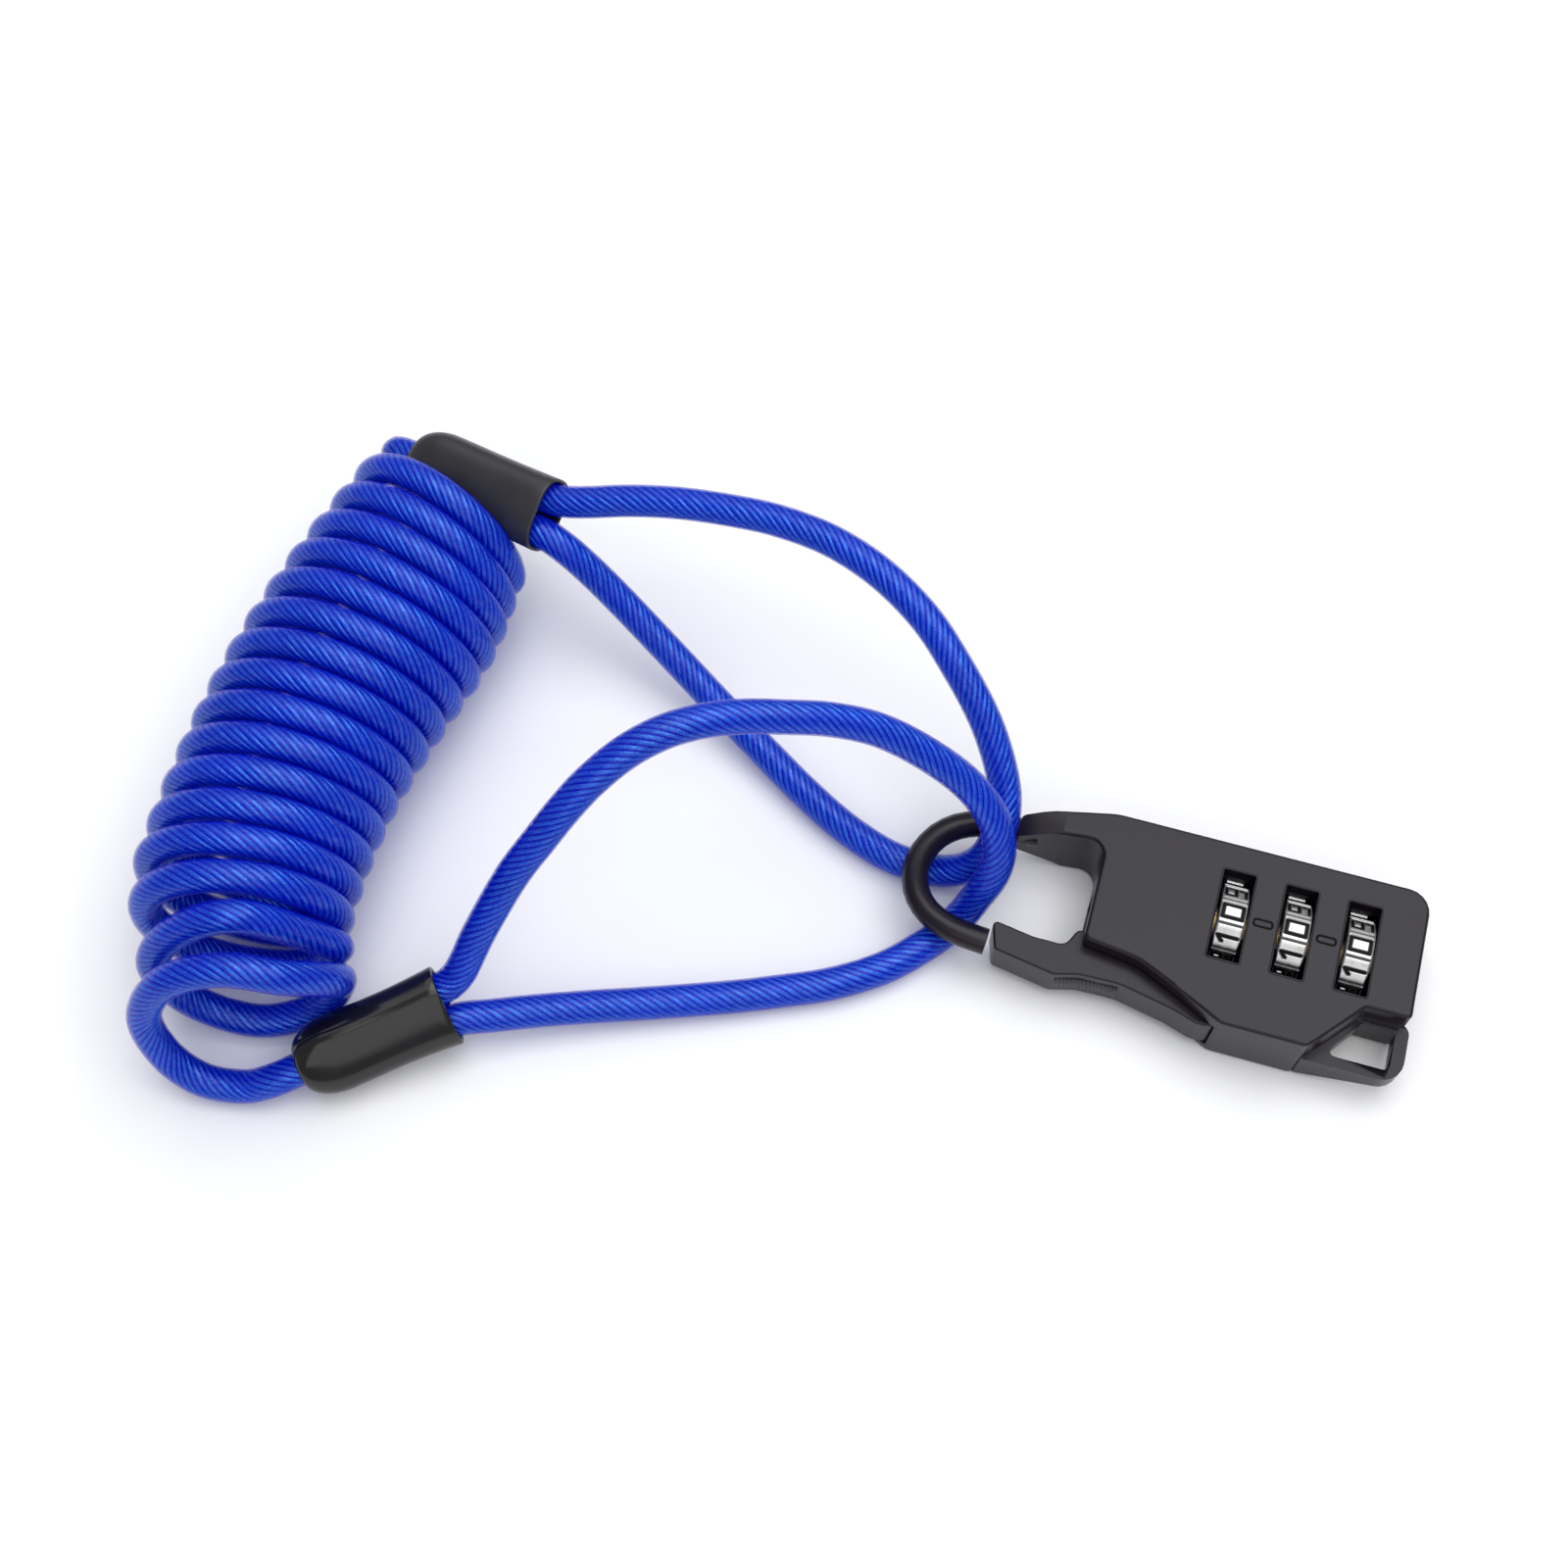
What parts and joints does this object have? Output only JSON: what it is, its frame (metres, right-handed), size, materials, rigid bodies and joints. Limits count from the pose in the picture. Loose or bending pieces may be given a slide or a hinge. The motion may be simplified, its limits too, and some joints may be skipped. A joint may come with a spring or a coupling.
{
  "type": "cable lock",
  "caption": "Coiled steel bicycle cable with a combination snap lock: painted body with hook and spring gate, number dials, and vinyl-sleeved loop ends on the hook.",
  "frame": {"origin": "centre of the lock's footprint, on the surface it lies on", "axes": "+X from the hook at the nose to the lanyard eye at the tail, +Y from the gate's side to the straight side, +Z out of the face that shows the dials"},
  "size_m": [0.1825, 0.1062, 0.045],
  "materials": {
    "black_paint": "satin black paint on cast zinc",
    "chrome": "bright chrome with engraved, black-filled figures",
    "steel": "plain drawn and turned steel",
    "brass": "turned brass",
    "aluminium": "pressed aluminium",
    "blue_cable": "glossy translucent blue vinyl over a twisted steel core",
    "black_vinyl": "soft satin black vinyl"
  },
  "bodies": {
    "lock_body": {"front_case": "black_paint", "back_cover": "black_paint", "cover_screw_1": "steel", "cover_screw_2": "steel", "cover_screw_3": "steel", "gate_pivot_pin": "steel", "gate_spring": "steel", "spindle_spring": "steel", "detent_leaf": "steel", "sleeve_a": "black_vinyl", "sleeve_b": "black_vinyl", "ferrule_a": "aluminium", "ferrule_b": "aluminium", "cable_loop_a": "blue_cable", "cable_loop_b": "blue_cable", "cable_coil": "blue_cable", "cable_lead_a": "blue_cable", "cable_lead_b": "blue_cable"},
    "gate": {"gate": "black_paint"},
    "spindle": {"spindle": "steel"},
    "dial_1": {"number_dial_1": "chrome", "dial_hub_1": "brass"},
    "dial_2": {"number_dial_2": "chrome", "dial_hub_2": "brass"},
    "dial_3": {"number_dial_3": "chrome", "dial_hub_3": "brass"}
  },
  "joints": [
    {"name": "gate_swing", "type": "hinge", "parent": "lock_body", "child": "gate", "pos_m": [0.0093, -0.0096, 0.0055], "axis": [0, 0, -1], "range_deg": [0, 16], "stiffness_Nm_per_rad": 0.02, "springref_deg": -28.65},
    {"name": "spindle_slide", "type": "slide", "parent": "lock_body", "child": "spindle", "axis": [1, 0, 0], "range_m": [0, 0.0037]},
    {"name": "dial_1_turn", "type": "hinge", "parent": "lock_body", "child": "dial_1", "pos_m": [0.00965, 0.0025, 0.00745], "axis": [1, 0, 0], "continuous": true},
    {"name": "dial_2_turn", "type": "hinge", "parent": "lock_body", "child": "dial_2", "pos_m": [0.01885, 0.0025, 0.00745], "axis": [1, 0, 0], "continuous": true},
    {"name": "dial_3_turn", "type": "hinge", "parent": "lock_body", "child": "dial_3", "pos_m": [0.02805, 0.0025, 0.00745], "axis": [1, 0, 0], "continuous": true}
  ],
  "couplings": [
    {"joint": "spindle_slide", "follows": "gate_swing", "m_per_rad": 0.01324}
  ]
}
